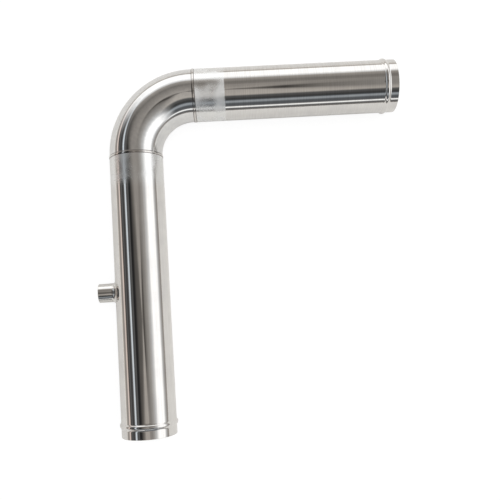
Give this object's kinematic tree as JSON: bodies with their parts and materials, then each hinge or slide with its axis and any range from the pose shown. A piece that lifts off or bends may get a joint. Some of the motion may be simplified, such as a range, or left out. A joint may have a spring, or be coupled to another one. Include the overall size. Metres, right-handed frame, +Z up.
{
  "type": "exhaust pipe",
  "caption": "Welded stainless exhaust pipe: a right-angle elbow between straight tubes with beaded hose ends, and a small stub on the longer leg.",
  "frame": {"origin": "centre of the bottom of the box that holds the pipe lying on its side", "axes": "+X along the upper tube, away from the elbow; +Y along the lower tube, towards the elbow; +Z up from the floor, square to the plane of the bend"},
  "size_m": [0.3708, 0.4344, 0.0667],
  "materials": {
    "lower_tube_steel": "polished, faint lengthwise lines",
    "upper_tube_steel": "polished, faint lines round the tube",
    "elbow_steel": "soft polish",
    "stub_steel": "satin",
    "weld": "ground and polished weld"
  },
  "bodies": {
    "root": {"lower_tube": "lower_tube_steel", "lower_weld": "weld", "elbow": "elbow_steel", "upper_weld": "weld", "upper_tube": "upper_tube_steel", "side_stub": "stub_steel", "stub_weld": "weld"}
  },
  "joints": []
}
